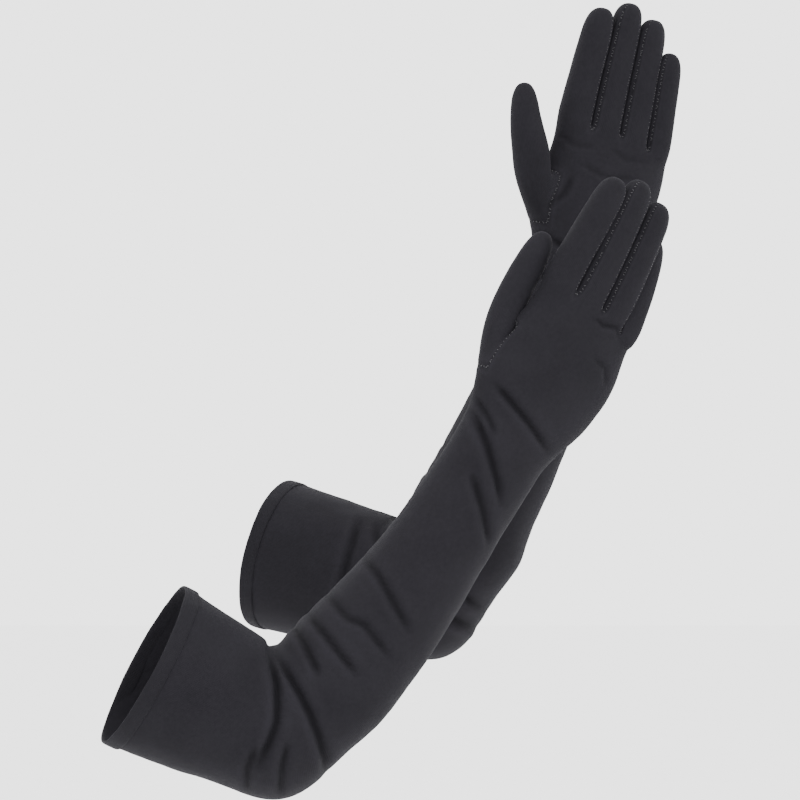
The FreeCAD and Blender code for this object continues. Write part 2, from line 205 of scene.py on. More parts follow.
def sleeve_rings(arm):
    """(centre, across, back, half width, half depth, distance along, piece) from hem to wrist."""
    rings = []
    reach = BEND_RADIUS * math.tan(arm.bend / 2)
    bend_start = arm.upper_length - reach
    at_hem, at_bend, past_bend, elbow_point = UPPER_GIRTH[arm.side]
    back_turn = Matrix.Rotation(-arm.bend, 3, arm.hinge)
    upper_across = back_turn @ arm.fore_across
    upper_back = back_turn @ arm.fore_back
    for share in (0.0, 0.13, 0.32, 0.55, 0.8):
        at = bend_start * share
        width = at_hem + (at_bend - at_hem) * share
        depth = HEM_HALF_DEPTH - UPPER_TAPER * share
        rings.append((arm.hem + arm.up * at * MM, upper_across, upper_back, width, depth, at, "sleeve"))
    start = arm.hem + arm.up * bend_start * MM
    inward = arm.hinge.cross(arm.up).normalized()
    middle = start + inward * BEND_RADIUS * MM
    bulges = [(elbow_point, *ELBOW_POINT)] + HOLLOWS
    for step in range(BEND_STEPS):
        share = step / (BEND_STEPS - 1)
        turn = Matrix.Rotation(arm.bend * share, 3, arm.hinge)
        back_from = Matrix.Rotation(arm.bend * (share - 1), 3, arm.hinge)
        outward = 0.0
        for height, peak, spread in bulges:
            outward += height * math.exp(-(((share - peak) / spread) ** 2))
        centre = middle + turn @ (start - middle)
        centre += (turn @ -inward) * (0.5 * outward * MM)
        width = at_bend + (past_bend - at_bend) * share + 0.5 * outward
        depth = BEND_HALF_DEPTH - BEND_TAPER * share
        at = bend_start + BEND_RADIUS * arm.bend * share
        across_here = back_from @ arm.fore_across
        back_here = back_from @ arm.fore_back
        rings.append((centre, across_here, back_here, width, depth, at, "sleeve"))
    past = bend_start + BEND_RADIUS * arm.bend
    for distance in (reach + 12, 70, 84, 98, 112, 126, 140, 155, 170, 185, 199, 212, 223):
        width = between(FOREARM_GIRTH[arm.side], distance)
        depth = between(FOREARM_GIRTH[arm.side], distance, 2)
        shift = between(FOREARM_SHIFT[arm.side], distance)
        centre = arm.elbow + arm.fore * distance * MM + arm.fore_across * shift * MM
        at = past + distance - reach
        piece = "sleeve" if distance <= LAST_SLEEVE_STATION else "cuff"
        rings.append((centre, arm.fore_across, arm.fore_back, width, depth, at, piece))
    return rings


for arm in arms:
    print(arm.side, "sleeve:", len(sleeve_rings(arm)), "rings")

# %% [markdown]
# ## The hand
# Past the wrist the same ring of twenty corners widens into the palm. A patch on the thumb side is
# cut open for the thumb. At the knuckles the ring divides, and each finger grows from its own ring
# of eight corners. The sizes are a hand's, in rows from the wrist to the finger tips, and the two
# hands differ a little in how they are held.

# %% Sizes of the hand, in millimetres from the wrist
# along, half width, half depth, shift to the little finger's side
PALM = {
    "right": [(4, 35.0, 22.6, -0.6), (13, 39.6, 21.8, -0.2), (22, 42.6, 20.8, -0.4), (33, 44.2, 19.4, -0.2),
              (44, 44.6, 17.8, 1.2), (56, 42.0, 16.2, 3.0), (67, 38.8, 14.4, 3.8), (78, 36.8, 12.6, 3.8)],
    "left": [(4, 31.4, 22.6, 0), (13, 34.2, 21.8, 0), (22, 37.4, 20.8, 0), (33, 40.6, 19.4, 1.0),
             (44, 42.4, 17.8, 3.6), (56, 42.0, 16.2, 6.2), (67, 42.0, 14.4, 6.6), (78, 41.0, 12.6, 7.4)],
}
THUMB_ROWS = (22, 33, 44, 56)
KNUCKLE_ROW = 56  # the finger pieces start at this row
# centre across, crotch, tip, girth at root and tip, drift across and to the palm at the tip
FINGER_SHAPE = {
    "right": {
        "index": (-22.8, 90, 166, 10.8, 9.2, 3.6, 4),
        "middle": (-1.2, 92, 172.5, 10.9, 9.4, -1.8, 6),
        "ring": (19.4, 88, 167, 10.4, 9.0, -2.8, 8),
        "little": (34.2, 80, 148, 8.8, 7.6, -6.5, 14),
    },
    "left": {
        "index": (-21.8, 88, 167.5, 10.8, 9.3, 3.6, 4),
        "middle": (-0.8, 90, 174.5, 10.9, 9.4, 1.6, 3),
        "ring": (19.8, 87, 167.5, 10.6, 9.1, -1.0, 4),
        "little": (39.2, 80, 148.5, 9.3, 8.0, -5.2, 6),
    },
}
WEB_HEIGHT = (94, 89, 84)
# centre line of the thumb: along, across, to the palm, half width
THUMB_LINE = {
    "right": [(46, -37.5, 8, 11.5), (57, -39.5, 9.5, 10.9), (68, -40.4, 11, 10.4), (80, -40.4, 12, 10.2),
              (92, -40.2, 12.6, 9.7), (102, -40, 13, 8.9), (109, -40.2, 13, 7.4), (114, -40.6, 13, 4.4)],
    "left": [(46, -43, 8, 11.8), (56, -48, 9, 12.2), (67, -51.4, 9.5, 12.2), (79, -57.0, 10, 10.8),
             (89, -60.4, 10, 9.5), (97, -62.6, 10, 8.6), (103, -64, 10, 7.0), (107.5, -65, 10, 4.2)],
}
FINGER_EASE = 1 / 0.902  # an eight-cornered ring draws in by this much when it is smoothed
THUMB_EASE = 1 / 0.955  # and a twelve-cornered one by this much
FINGER_ANGLES = (135, 90, 45, 0, -45, -90, -135, 180)
SEAM_FULLNESS = 1.16  # the seams sit this much wider than on a round finger


def finger_ring(arm, centre, half_width, half_depth):
    places = []
    for angle in FINGER_ANGLES:
        turn = math.radians(angle)
        fullness = SEAM_FULLNESS if angle % 90 else 1
        aside = arm.across * (half_width * FINGER_EASE * fullness * math.cos(turn) * MM)
        places.append(centre + aside + arm.back * (half_depth * FINGER_EASE * math.sin(turn) * MM))
    return places


def in_hand(arm, across, palmward, along):
    """A place in the hand, from millimetres across, towards the palm and along."""
    return arm.wrist + (arm.across * across - arm.back * palmward + arm.hand * along) * MM


def finger_of_column(column):
    if column in (17, 18, 19, 0, 1, 2):
        return "index"
    if column in (3, 4, 15, 16):
        return "middle"
    return "ring" if column in (5, 6, 13, 14) else "little"


print("middle fingers end", [FINGER_SHAPE[arm.side]["middle"][2] for arm in arms], "mm from the wrist")

# %% [markdown]
# ## Webs and finger roots
# Between two fingers the palm's last ring is joined across by one edge, front to back, which is the
# web. The ring could be split into four round holes, but a web with a corner of its own lets the
# cloth run unbroken from one finger down and up into the next, as it does on a sewn glove.

# %% The palm's last ring
ROOT_HALF_DEPTH = 11.4
FINGER_ROOT_DEPTH = 11.6
BETWEEN_DEPTH = 8.6
LITTLE_SIDE_SLIMMER = 1.6
SIDE_SHARE = 0.72  # where the outer seam of the first and last finger lies, as a share of its girth


def crotch_ring(arm, shapes):
    """The last ring of the palm, whose corners rise between the fingers."""
    _, half_width, _, shift = PALM[arm.side][-1]
    start = in_hand(arm, shift, 0, 0)
    places = oval(start, arm.across, arm.back, half_width * MM, ROOT_HALF_DEPTH * MM, SLEEVE_COLUMNS)
    fingers = [shapes[name] for name in FINGERS]
    heights = {}
    for number, shape in enumerate(fingers):
        for step in (1, 2, 3):
            heights.setdefault(2 * number + step, []).append(shape[1] - 2)
    for column in range(SLEEVE_COLUMNS):
        mirrored = min(column, SLEEVE_COLUMNS - column)
        if mirrored in (0, 10):
            rise = fingers[0][1] - 3 if mirrored == 0 else fingers[3][1] - 3
            aside = places[column]
        else:
            rise = sum(heights[mirrored]) / len(heights[mirrored])
            if mirrored % 2 == 0:
                middle = fingers[mirrored // 2 - 1][0]
            elif mirrored == 1:
                middle = fingers[0][0] - SIDE_SHARE * fingers[0][3]
            elif mirrored == 9:
                middle = fingers[3][0] + SIDE_SHARE * fingers[3][3]
            else:
                middle = (fingers[(mirrored - 3) // 2][0] + fingers[(mirrored - 1) // 2][0]) / 2
            depth = FINGER_ROOT_DEPTH if mirrored % 2 == 0 else BETWEEN_DEPTH
            depth -= LITTLE_SIDE_SLIMMER if mirrored >= 8 else 0
            way = 1 if column > 10 else -1
            aside = in_hand(arm, middle, way * depth, 0)
        places[column] = aside + arm.hand * rise * MM
    return places


print("webs stand", WEB_HEIGHT, "mm from the wrist")

# %% [markdown]
# ## Growing the fingers
# A real finger is two strips, back and palm, with narrow side strips sewn between them. Here it is
# one tube of eight corners, and the corners at its sides are marked as seams. It narrows towards the
# tip in eight rows and closes with a small dome.

# %% Grow four fingers
FINGER_CLOTH_START = 260
FINGER_SEAMS = {"index": (2, 4), "middle": (0, 2, 4, 6), "ring": (0, 2, 4, 6), "little": (0, 6)}
TIP_DOME = 1.2


def close_tip(bm, rim, piece, way):
    """Fills a tube's end and draws its middle out into a small dome."""
    for face in bmesh.ops.edgeloop_fill(bm, edges=rim)["faces"]:
        face.material_index = PIECES.index(piece)
        outward = face.calc_center_median()
        bmesh.ops.poke(bm, faces=[face])["verts"][0].co = outward + way * TIP_DOME * MM


def edges_round(bm, corners):
    """The edges of a closed ring of corners."""
    return [bm.edges.get(pair) for pair in zip(corners, corners[1:] + corners[:1])]


def grow_fingers(bm, arm, ring):
    shapes = FINGER_SHAPE[arm.side]
    webs = []
    for number, height in enumerate(WEB_HEIGHT):
        back_corner = ring.corners[2 * number + 3]
        palm_corner = ring.corners[17 - 2 * number]
        corner = bmesh.ops.extrude_vert_indiv(bm, verts=[back_corner])["verts"][0]
        bm.edges.new((corner, palm_corner))
        across = (shapes[FINGERS[number]][0] + shapes[FINGERS[number + 1]][0]) / 2
        corner.co = in_hand(arm, across, 0, height)
        clear_marks(bm, [corner])
        corner[bm.verts.layers.float["web"]] = 1.0
        webs.append(corner)
    radial = [ring.corners[0]] + webs
    ulnar = webs + [ring.corners[10]]
    for number, name in enumerate(FINGERS):
        across, crotch, tip, girth, tip_girth, drift, palmward = shapes[name]
        over = [ring.corners[2 * number + step] for step in (1, 2, 3)]
        under = [ring.corners[SLEEVE_COLUMNS - (2 * number + step)] for step in (3, 2, 1)]
        corners = over + [ulnar[number]] + under + [radial[number]]
        finger = SimpleNamespace(corners=corners, along=FINGER_CLOTH_START + crotch)
        length = tip - crotch
        # distance from the finger's root and share of the full girth
        rows = [(7, 1.0), (17, 1.0), (length * 0.38, 0.985), (length * 0.55, 1.0)]
        rows += [(length * 0.72, 0.98), (length - 13, 0.97), (length - 5.5, 0.84), (length - 1.4, 0.48)]
        for distance, fullness in rows:
            share = distance / length
            half = (girth + (tip_girth - girth) * share) * fullness
            aside = across + drift * share ** 1.3
            centre = in_hand(arm, aside, palmward * share ** 1.6, crotch + distance)
            places = finger_ring(arm, centre, half, half * 0.95)
            finger = grow(bm, finger, places, name, finger.along + distance, FINGER_SEAMS[name])
        close_tip(bm, edges_round(bm, finger.corners), name, arm.hand)


# %% [markdown]
# ## The thumb
# A set-in thumb is a tube sewn into a hole on the side of the palm. So the patch between four rings
# is cut away, and the hole's own edge of twelve corners is extruded up the thumb's middle line.

# %% Grow the thumb from its hole
THUMB_CLOTH_START = 300
THUMB_ROOT_LEAN = 0.55  # how far the first ring leans out from the palm


def grow_thumb(bm, arm, rows):
    low, second, third, top = (rows[height].corners for height in THUMB_ROWS)
    patch = []
    for lower, upper in ((low, second), (second, third), (third, top)):
        for column in (18, 19, 0):
            after = (column + 1) % SLEEVE_COLUMNS
            patch.append(bm.faces.get((lower[column], lower[after], upper[after], upper[column])))
    bmesh.ops.delete(bm, geom=patch, context="FACES")
    corners = [low[18], low[19], low[0], low[1], second[1], third[1]]
    corners += [top[1], top[0], top[19], top[18], third[18], second[18]]
    seam = bm.verts.layers.float["seam"]
    for corner in corners:
        corner[seam] = 1.0
    thumb = SimpleNamespace(corners=corners, along=THUMB_CLOTH_START)
    line = THUMB_LINE[arm.side]
    for number, (along, across, palmward, half) in enumerate(line):
        before = line[max(0, number - 1)]
        after = line[min(len(line) - 1, number + 1)]
        way = in_hand(arm, *after[1:3], after[0]) - in_hand(arm, *before[1:3], before[0])
        if number == 0:
            way = (way.normalized() - arm.across * THUMB_ROOT_LEAN).normalized()
        way.normalize()
        outer = (-arm.across - way * way.dot(-arm.across)).normalized()
        over = (arm.back - way * way.dot(arm.back) - outer * outer.dot(arm.back)).normalized()
        centre = in_hand(arm, across, palmward, along)
        places = []
        for step in range(THUMB_COLUMNS):
            turn = math.radians((step - 1.5) * 360 / THUMB_COLUMNS)
            aside = outer * (half * THUMB_EASE * math.cos(turn) * MM)
            places.append(centre + aside + over * (half * THUMB_EASE * 0.97 * math.sin(turn) * MM))
        thumb = grow(bm, thumb, places, "thumb", THUMB_CLOTH_START + along)
    close_tip(bm, edges_round(bm, thumb.corners), "thumb", way)


print("thumb lines:", {arm.side: len(THUMB_LINE[arm.side]) for arm in arms}, "rings")

# %% [markdown]
# ## One cage
# The sleeve, palm, fingers and thumb are grown in that order into one mesh. Corners on a seam, on a
# web and on the rim where the finger pieces start are marked with numbers that the smoothing
# carries along. A cage of large faces is easy to shape, and it's smoothed only afterwards.

# %% Put one glove's cage together
UNDER_SEAM = (10,)  # the sleeve's long seam runs along the little finger's side
FORK_COLUMNS = (3, 5, 7, 13, 15, 17)


def build_cage(arm):
    bm = bmesh.new()
    for mark in ("seam", "web", "knuckle_rim"):
        bm.verts.layers.float.new(mark)
    bm.loops.layers.uv.new("cloth")
    bmesh.ops.create_circle(bm, cap_ends=False, segments=SLEEVE_COLUMNS, radius=MM)
    bm.verts.ensure_lookup_table()
    stations = sleeve_rings(arm)
    ring = SimpleNamespace(corners=list(bm.verts), along=0)
    centre, across, back, width, depth, _, _ = stations[0]
    mouth = oval(centre, across, back, width * MM, depth * MM, SLEEVE_COLUMNS)
    for corner, place in zip(ring.corners, mouth):
        corner.co = place
    for centre, across, back, width, depth, at, piece in stations[1:]:
        places = oval(centre, across, back, width * MM, depth * MM, SLEEVE_COLUMNS)
        ring = grow(bm, ring, places, piece, at, UNDER_SEAM)
    rows = {}
    last = ring.along
    for along, half_width, half_depth, shift in PALM[arm.side]:
        centre = in_hand(arm, shift, 0, along)
        places = oval(centre, arm.across, arm.back, half_width * MM, half_depth * MM, SLEEVE_COLUMNS)
        piece = "cuff" if along <= KNUCKLE_ROW else finger_of_column
        seams = UNDER_SEAM if along <= KNUCKLE_ROW else ()
        ring = grow(bm, ring, places, piece, last + 11 + along, seams)
        rows[along] = ring
        if along == KNUCKLE_ROW:
            for corner in ring.corners:
                corner[bm.verts.layers.float["knuckle_rim"]] = 1.0
    ring = grow(bm, ring, crotch_ring(arm, FINGER_SHAPE[arm.side]), finger_of_column, last + 100)
    seam = bm.verts.layers.float["seam"]
    for column in FORK_COLUMNS:
        ring.corners[column][seam] = 1.0
    grow_fingers(bm, arm, ring)
    grow_thumb(bm, arm, rows)
    bmesh.ops.recalc_face_normals(bm, faces=bm.faces)
    print(arm.side, "cage:", len(bm.faces), "faces")
    return bm


# %% [markdown]
# ## Smoothing the cages
# Three rounds of subdivision turn each cage into smooth cloth. The marks for seams and webs are
# carried along, so the next cells still know where they are.

# %% Smooth both gloves
ROUNDS = 3


def smooth_cage(bm, name):
    mesh = bpy.data.meshes.new(name)
    bm.to_mesh(mesh)
    bm.free()
    cage = bpy.data.objects.new(name, mesh)
    bpy.context.scene.collection.objects.link(cage)
    rounding = cage.modifiers.new("Rounding", "SUBSURF")
    rounding.levels = ROUNDS
    rounding.render_levels = ROUNDS
    bpy.context.view_layer.update()
    evaluated = cage.evaluated_get(bpy.context.evaluated_depsgraph_get())
    smoothed = bpy.data.meshes.new_from_object(evaluated)
    bpy.data.objects.remove(cage)
    return smoothed


smooth_gloves = {arm.side: smooth_cage(build_cage(arm), f"{arm.side}_glove") for arm in arms}
for side, mesh in smooth_gloves.items():
    print(side, "glove:", len(mesh.vertices), "points after smoothing")

# %% [markdown]
# ## Folds
# Stretch cloth gathers where the arm bends: a fan of creases round the crook and point of the elbow,
# slanting pulls across the forearm, and two or three creases round the wrist. Each fold is a line
# across the arm as it is seen from the front. The cloth sinks along it and swells beside it, and the
# fold fades towards its ends and where the arm turns away.

# %% Lines of the folds
# (from which hinge, lean of the arm in degrees, depth, width, side: 1 near, -1 far, 0 both, places)
# every place is (millimetres along the arm, millimetres across it)
FOLDS = {
    "right": [
        ("wrist", 36, 1.7, 4.2, 1, [(16, -30), (8, 4), (0, 27)]),
        ("wrist", 36, 1.2, 3.6, 1, [(2, -33), (-4, -18), (-10, -8)]),
        ("wrist", 36, 1.9, 4.6, 1, [(-5, -30), (-18, -9), (-32, 9), (-44, 21)]),
        ("wrist", 36, 1.6, 4.6, 1, [(-36, -8), (-51, 12), (-68, 30)]),
        ("wrist", 36, 1.5, 4.2, -1, [(10, -28), (2, 2), (-8, 28)]),
        ("wrist", 36, 1.5, 4.6, -1, [(-12, -30), (-22, -4), (-28, 28)]),
        ("elbow", 36, 1.1, 4.5, -1, [(150, -30), (136, -4), (120, 28)]),
        ("elbow", 36, 1.4, 4.6, 1, [(118, -36), (113, -15), (103, 7), (96, 22)]),
        ("elbow", 36, 1.3, 4.6, 0, [(86, -40), (82, -16), (85, -6), (77, 22)]),
        ("elbow", 36, 1.7, 4.6, 0, [(69, -42), (66, -22), (58, 11)]),
        ("elbow", 36, 1.7, 4.6, 0, [(58, -45), (54, -29), (44, -8)]),
        ("elbow", 36, 2.2, 4.8, 0,
         [(40, -46), (33, -37), (25, -27), (15, -19), (7, -14), (-4, -11), (-24, -7)]),
        ("elbow", 36, 2.2, 4.8, 0, [(40, -43), (35, -28), (29, -13), (23, -1), (15, 11), (5, 23), (-8, 32)]),
        ("elbow", 36, 1.4, 4.4, 1, [(2, -2), (-12, 4), (-30, 14)]),
        ("elbow", 36, 1.3, 4.4, 1, [(-10, -16), (-26, -12), (-42, -2)]),
        ("wrist", 29, 0.9, 3.0, 1, [(84, 8), (82, 16), (85, 24), (79, 30)]),
        ("wrist", 29, 0.7, 3.2, 1, [(62, 20), (60, 30), (50, 36)]),
        ("wrist", 29, 0.7, 4.0, -1, [(70, -20), (64, 0), (66, 24)]),
        ("elbow", 36, 1.5, 5.0, -1, [(34, -52), (14, -44), (-6, -40), (-24, -44)]),
        ("elbow", 36, 1.2, 5.0, -1, [(30, -60), (8, -62), (-14, -66)]),
    ],
    "left": [
        ("wrist", 11, 0.45, 3.2, 1, [(82, -30), (76, -18), (78, -2)]),
        ("wrist", 11, 0.45, 3.2, 1, [(80, 6), (74, 18), (76, 34)]),
        ("wrist", 11, 0.6, 3.6, 1, [(66, -14), (60, 8), (64, 30)]),
        ("wrist", 11, 0.8, 3.6, 1, [(30, -30), (44, -18), (58, -14)]),
        ("wrist", 21, 1.5, 4.2, 0, [(12, -30), (5, 2), (-4, 28)]),
        ("wrist", 21, 1.5, 4.6, 0, [(-10, -30), (-20, 0), (-30, 26)]),
        ("wrist", 21, 1.4, 4.6, -1, [(-36, -30), (-50, 0), (-66, 28)]),
        ("elbow", 21, 1.5, 4.6, 0, [(150, 40), (137, 30), (118, 8)]),
        ("elbow", 21, 1.5, 4.6, 0, [(98, -38), (90, -20), (84, 6)]),
        ("elbow", 21, 1.9, 4.6, 0, [(78, -42), (70, -28), (60, 8)]),
        ("elbow", 21, 1.9, 4.6, 0, [(60, -44), (52, -28), (42, -6)]),
        ("elbow", 21, 2.1, 5.2, 0, [(40, -46), (28, -26), (14, 0), (4, 34)]),
        ("elbow", 21, 2.2, 5.2, 0, [(34, -52), (14, -30), (-4, -8), (-8, 26), (-4, 38)]),
        ("elbow", 21, 1.7, 5.0, 0, [(34, -56), (6, -40), (-20, -26), (-38, -12)]),
        ("elbow", 21, 1.3, 5.0, 0, [(34, -66), (4, -64), (-24, -60)]),
    ],
}


print("folds:", {side: len(lines) for side, lines in FOLDS.items()})

# %% [markdown]
# ## What one fold does
# A crease in thin cloth is a narrow valley with a rounder swelling on one side, a weaker one on the
# other and a broad dip under both. Every place on the cloth gets its distance to the fold's line,
# and four bell curves of that distance make the profile. Both ends of the fold fade out.

# %% The profile of a fold
def fold_profile(places, line, width):
    """How deep each place lies in a fold along the line, and how far it is inside the crease."""
    line = np.array(line, float)
    steps = np.linalg.norm(np.diff(line, axis=0), axis=1)
    walked = np.concatenate([[0], np.cumsum(steps)])
    nearest = np.full(len(places), np.inf)
    aside = np.zeros(len(places))
    share = np.zeros(len(places))
    for number, length in enumerate(steps):
        way = (line[number + 1] - line[number]) / length
        offset = places - line[number]
        along = np.clip(offset @ way, 0, length)
        gap = offset - along[:, None] * way
        distance = np.linalg.norm(gap, axis=1)
        closer = distance < nearest
        nearest = np.where(closer, distance, nearest)
        aside = np.where(closer, np.sign(way[0] * gap[:, 1] - way[1] * gap[:, 0]) * distance, aside)
        share = np.where(closer, (walked[number] + along) / walked[-1], share)
    ends = np.clip(5 * share, 0, 1) * np.clip(5 * (1 - share), 0, 1)
    valley = np.exp(-((aside / (0.42 * width)) ** 2))
    sink = 0.35 * np.exp(-((aside / width) ** 2))
    ridge = 0.7 * np.exp(-(((aside - 0.95 * width) / (0.6 * width)) ** 2))
    other = 0.25 * np.exp(-(((aside + 1.3 * width) / (0.9 * width)) ** 2))
    return (ridge + other - valley - sink) * ends, valley * ends


# %% [markdown]
# ## Pressing the cloth
# Folds, a slight unevenness and the seams all move a point along its normal. A sculpting brush could
# do it, but a sum of moves can be read and changed. Points in a crease and on a ridge are marked, so
# that the cloth can be painted darker in the creases as painted shade and paler on the ridges as a
# painted highlight, and the normals are kept for the cut pieces.

# %% Press the folds, seams and small wrinkles into the cloth
FAR_SHOWN = 0.25  # a fold of one side still shows a little where the arm turns away
# painted shade: a fold this deep gets its crease painted at full darkness
FULL_CREASE_SHADE = 1.6  # a fold this deep is as dark as a crease gets
GROOVE = 0.32
SEAM_RIDGE = 0.12


def read_points(mesh, what):
    numbers = np.empty(len(mesh.vertices) * 3)
    mesh.vertices.foreach_get(what, numbers)
    return numbers.reshape(-1, 3)


def read_mark(mesh, name):
    numbers = np.empty(len(mesh.vertices))
    mesh.attributes[name].data.foreach_get("value", numbers)
    return numbers


def press_cloth(mesh, arm):
    places = read_points(mesh, "co")
    normals = read_points(mesh, "normal")
    move = np.zeros(len(places))
    crease = np.zeros(len(places))
    for hinge, lean, depth, width, side, line in FOLDS[arm.side]:
        origin = arm.elbow if hinge == "elbow" else arm.wrist
        turn = math.radians(lean)
        from_hinge = (places - np.array(origin)) / MM
        along = from_hinge[:, 0] * math.sin(turn) + from_hinge[:, 2] * math.cos(turn)
        across = from_hinge[:, 0] * math.cos(turn) - from_hinge[:, 2] * math.sin(turn)
        facing = np.abs(normals[:, 1]) if side == 0 else -side * normals[:, 1]
        shown = np.clip(facing * 2.2 + (0.45 if side == 0 else FAR_SHOWN), 0, 1)
        lift, inside = fold_profile(np.column_stack([along, across]), line, width)
        move += depth * shown * lift
        # painted shade: how much darker each fold's valley is painted, more for deeper folds
        crease = np.maximum(crease, inside * shown * min(1, depth / FULL_CREASE_SHADE))
    ridges = np.clip(move, 0, 1)
    seam = read_mark(mesh, "seam")
    sleeve = np.clip((arm.wrist.z + 10 * MM - places[:, 2]) / (50 * MM), 0, 1)
    for number, place in enumerate(places):
        spot = Vector(place)
        waves = noise.noise(spot * 38) * 0.55 + noise.noise(spot * 95) * 0.22
        fine = noise.noise(spot * 210) * 0.07
        move[number] += (0.35 + 0.65 * sleeve[number]) * waves + fine
    groove = np.clip((seam - 0.84) / 0.16, 0, 1) ** 2
    beside = np.exp(-(((seam - 0.72) / 0.08) ** 2))
    move += -GROOVE * groove + SEAM_RIDGE * beside
    places += normals * (move * MM)[:, None]
    mesh.vertices.foreach_set("co", places.ravel())
    # painted highlight: fold ridges and the ridges beside the seams are painted paler; the crease mark is painted
    # shade
    for name, amount in (("painted_highlight", np.clip(0.4 * ridges + 0.4 * beside, 0, 1)), ("crease", crease)):
        mesh.attributes.new(name, "FLOAT", "POINT").data.foreach_set("value", amount)
    mesh.update()
    soft = mesh.attributes.new("soft", "FLOAT_VECTOR", "POINT")
    soft.data.foreach_set("vector", read_points(mesh, "normal").ravel())
    print(arm.side, "folds up to", round(float(-move.min()), 1), "mm deep")


for arm in arms:
    press_cloth(smooth_gloves[arm.side], arm)

# %% [markdown]
# ## Small helpers for shader nodes
# A material is a tree of nodes. Small helpers keep the recipes that follow short: they start a
# material, add a node and join it, do arithmetic, give a noise that stays put, and mix colours.

# %% Helpers for shader nodes
def new_material(name):
    material = bpy.data.materials.new(name)
    material.use_nodes = True
    return material, material.node_tree, material.node_tree.nodes["Principled BSDF"]


def add_node(tree, kind, sources=(), **settings):
    """A shader node with its inputs joined to other nodes or set to plain numbers."""
    node = tree.nodes.new(kind)
    for name, value in settings.items():
        setattr(node, name, value)
    for socket, source in sources:
        if isinstance(source, bpy.types.NodeSocket):
            tree.links.new(source, node.inputs[socket])
        else:
            node.inputs[socket].default_value = source
    return node


def arithmetic(tree, operation, *values):
    return add_node(tree, "ShaderNodeMath", enumerate(values), operation=operation).outputs[0]


def cloth_noise(tree, scale, detail=3.0):
    place = add_node(tree, "ShaderNodeTexCoord").outputs["Object"]
    sources = [("Vector", place), ("Scale", scale), ("Detail", detail)]
    return add_node(tree, "ShaderNodeTexNoise", sources).outputs["Fac"]


def mix_colours(tree, share, first, second):
    mixer = add_node(tree, "ShaderNodeMix", [(0, share), (6, first), (7, second)], data_type="RGBA")
    return mixer.outputs[2]


# %% [markdown]
# ## Knit
# The cloth is a fine jersey: rows of small loops that make ribs along the arm. The ribs and rows
# come from the flat cloth map, and the colour is a charcoal that is nowhere quite even. Fine fibres
# catch the light at grazing angles. A painted highlight makes the cloth paler on the ridges of folds
# and beside the seams, and painted shade makes it darker in creases and in the seam grooves.

# %% The jersey
def knit_material(name, dark, pale, wale, course, bump):
    """Jersey: loops of the given width (wale) and height (course), in metres."""
    material, tree, skin = new_material(name)
    cloth = add_node(tree, "ShaderNodeUVMap", uv_map="cloth").outputs["UV"]
    flat = add_node(tree, "ShaderNodeSeparateXYZ", [(0, cloth)])
    column = arithmetic(tree, "FRACT", arithmetic(tree, "DIVIDE", flat.outputs[0], wale))
    leg = arithmetic(tree, "ABSOLUTE", arithmetic(tree, "SUBTRACT", column, 0.5))
    slant = arithmetic(tree, "ADD", arithmetic(tree, "DIVIDE", flat.outputs[1], course), leg)
    loop = arithmetic(tree, "SINE", arithmetic(tree, "MULTIPLY", slant, 2 * math.pi))
    rib = arithmetic(tree, "COSINE", arithmetic(tree, "MULTIPLY", leg, 2 * math.pi))
    loops = arithmetic(tree, "MULTIPLY", loop, 0.4)
    stitch = arithmetic(tree, "ADD", loops, arithmetic(tree, "MULTIPLY", rib, -0.6))
    fuzz = cloth_noise(tree, 1700, 2.0)
    blotches = cloth_noise(tree, 26, 4.0)
    specks = cloth_noise(tree, 420, 2.0)
    # painted highlight: paler on fold ridges, beside the seams and on the hem's lip
    painted_highlight = add_node(tree, "ShaderNodeAttribute", attribute_name="painted_highlight").outputs["Fac"]
    seam = add_node(tree, "ShaderNodeAttribute", attribute_name="seam").outputs["Fac"]
    shade = arithmetic(tree, "MULTIPLY", blotches, 0.55)
    for part, share in ((stitch, 0.12), (specks, 0.35), (painted_highlight, 0.5)):
        shade = arithmetic(tree, "ADD", shade, arithmetic(tree, "MULTIPLY", part, share))
    # painted shade: the jersey is painted darker along the seam grooves
    seam_groove_shade = arithmetic(tree, "MULTIPLY", arithmetic(tree, "GREATER_THAN", seam, 0.965), 0.22)
    # painted shade: the jersey is painted darker in the valleys of folds
    crease = add_node(tree, "ShaderNodeAttribute", attribute_name="crease").outputs["Fac"]
    crease_valley_shade = arithmetic(tree, "MULTIPLY", crease, 0.55)
    shade = arithmetic(tree, "SUBTRACT", shade, arithmetic(tree, "ADD", seam_groove_shade, crease_valley_shade))
    shade.node.use_clamp = True
    tree.links.new(mix_colours(tree, shade, dark, pale), skin.inputs["Base Color"])
    rough = arithmetic(tree, "ADD", arithmetic(tree, "MULTIPLY", fuzz, 0.16), 0.78)
    tree.links.new(rough, skin.inputs["Roughness"])
    height = arithmetic(tree, "ADD", stitch, arithmetic(tree, "MULTIPLY", fuzz, 0.5))
    relief = add_node(tree, "ShaderNodeBump", [("Height", height), ("Strength", bump), ("Distance", 0.00012)])
    tree.links.new(relief.outputs[0], skin.inputs["Normal"])
    skin.inputs["Specular IOR Level"].default_value = 0.07
    skin.inputs["Sheen Weight"].default_value = 0.02
    skin.inputs["Sheen Roughness"].default_value = 0.42
    skin.inputs["Sheen Tint"].default_value = (0.62, 0.62, 0.74, 1)
    return material


BLACK = ((0.0042, 0.0039, 0.005, 1), (0.0135, 0.0126, 0.0158, 1))
